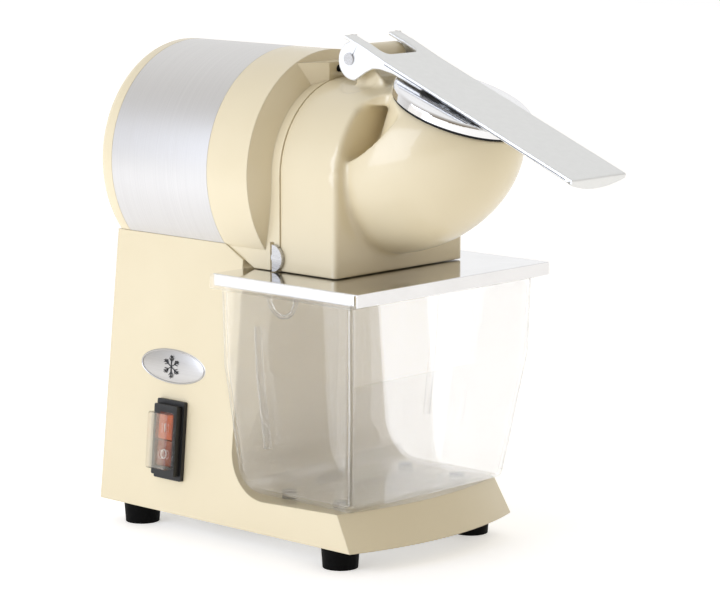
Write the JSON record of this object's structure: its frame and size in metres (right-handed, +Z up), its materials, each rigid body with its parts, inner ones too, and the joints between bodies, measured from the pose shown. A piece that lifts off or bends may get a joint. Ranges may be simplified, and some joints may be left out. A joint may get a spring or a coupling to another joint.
{
  "type": "shaved ice machine",
  "caption": "Counter-top electric ice shaver: motor barrel on a cast pedestal, swing-open cutter head with a lidded ice bowl and press lever, clear pull-out bin.",
  "frame": {"origin": "centre of the bounding box at table level, under the rubber feet", "axes": "+X to the machine's right, +Y to the back (from lever tip to cable gland), +Z up"},
  "size_m": [0.268, 0.5155, 0.4677],
  "materials": {
    "cream": "gloss enamel over cast metal",
    "brushed_sheet": "fine vertical brushed",
    "polished_sheet": "polished",
    "satin_lever": "satin cast, lightly polished",
    "polished_lid": "mirror polished",
    "stainless": "machined",
    "blade_steel": "ground",
    "zinc": "zinc plated",
    "motor_steel": "laminated, varnished",
    "copper": "enamelled winding wire",
    "cast_alloy": "as cast",
    "galvanised": "galvanised sheet",
    "black_rubber": "matt moulded",
    "seal_rubber": "smooth",
    "clear_plastic": "clear moulded, glossy",
    "clear_cover": "clear, flexible",
    "black_plastic": "fine moulded texture",
    "orange_key": "translucent, lit",
    "red_key": "translucent",
    "white_plastic": "food grade, satin",
    "badge_metal": "blank, brushed"
  },
  "bodies": {
    "root": {"base_casting": "cream", "front_casting": "cream", "rear_cover": "cream", "motor_band": "brushed_sheet", "bottom_cover": "galvanised", "rubber_feet": "black_rubber", "foot_screws": "zinc", "bin_pads": "black_rubber", "flange_screws": "zinc", "rear_cover_screws": "stainless", "motor_tube": "cast_alloy", "stator_core": "motor_steel", "stator_windings": "copper", "rear_shield": "cast_alloy", "tie_bolts": "zinc", "front_bearing": "stainless", "rear_bearing": "stainless", "shaft_seal": "seal_rubber", "hinge_pin": "stainless", "rest_bumpers": "black_rubber", "switch_housing": "black_plastic", "switch_cover": "clear_cover", "badge_plate": "badge_metal", "cable_gland": "black_plastic", "terminal_block": "white_plastic", "run_capacitor": "white_plastic", "capacitor_clip": "galvanised"},
    "shaft": {"motor_shaft": "stainless", "rotor_core": "motor_steel", "cooling_fan": "black_plastic", "disc_spacer": "stainless", "cutter_disc": "stainless", "cutter_blades": "blade_steel", "blade_screws": "stainless", "disc_nut": "stainless"},
    "head": {"head_casting": "cream", "chamber_seal": "seal_rubber"},
    "lever": {"lever": "satin_lever", "lever_pin": "stainless", "lid": "polished_lid", "lid_seal": "seal_rubber", "presser_plate": "white_plastic", "lid_bracket": "stainless", "lid_rivets": "stainless"},
    "catch": {"catch_half_disc": "stainless"},
    "start_button": {"start_button": "orange_key"},
    "stop_button": {"stop_button": "red_key"},
    "bin": {"ice_bin": "clear_plastic", "bin_cover": "polished_sheet"}
  },
  "joints": [
    {"name": "shaft_spin", "type": "hinge", "parent": "root", "child": "shaft", "pos_m": [0, 0.086, 0.342], "axis": [0, 1, 0], "continuous": true},
    {"name": "head_hinge", "type": "hinge", "parent": "root", "child": "head", "pos_m": [0.093, 0.03835, 0.315], "axis": [0, 0, 1], "range_deg": [0, 100]},
    {"name": "lever_pivot", "type": "hinge", "parent": "head", "child": "lever", "pos_m": [0, -0.0014, 0.447], "axis": [-1, 0, 0], "range_deg": [0, 150]},
    {"name": "catch_turn", "type": "hinge", "parent": "root", "child": "catch", "pos_m": [-0.085, 0.045, 0.2692], "axis": [1, 0, 0], "range_deg": [0, 180]},
    {"name": "bin_slide", "type": "slide", "parent": "root", "child": "bin", "axis": [0, -1, 0], "range_m": [0, 0.2]},
    {"name": "start_press", "type": "slide", "parent": "root", "child": "start_button", "axis": [0.9959, 0, -0.0904], "range_m": [0, 0.0025], "stiffness_N_per_m": 400},
    {"name": "stop_press", "type": "slide", "parent": "root", "child": "stop_button", "axis": [0.9959, 0, -0.0904], "range_m": [0, 0.0025], "stiffness_N_per_m": 400}
  ]
}
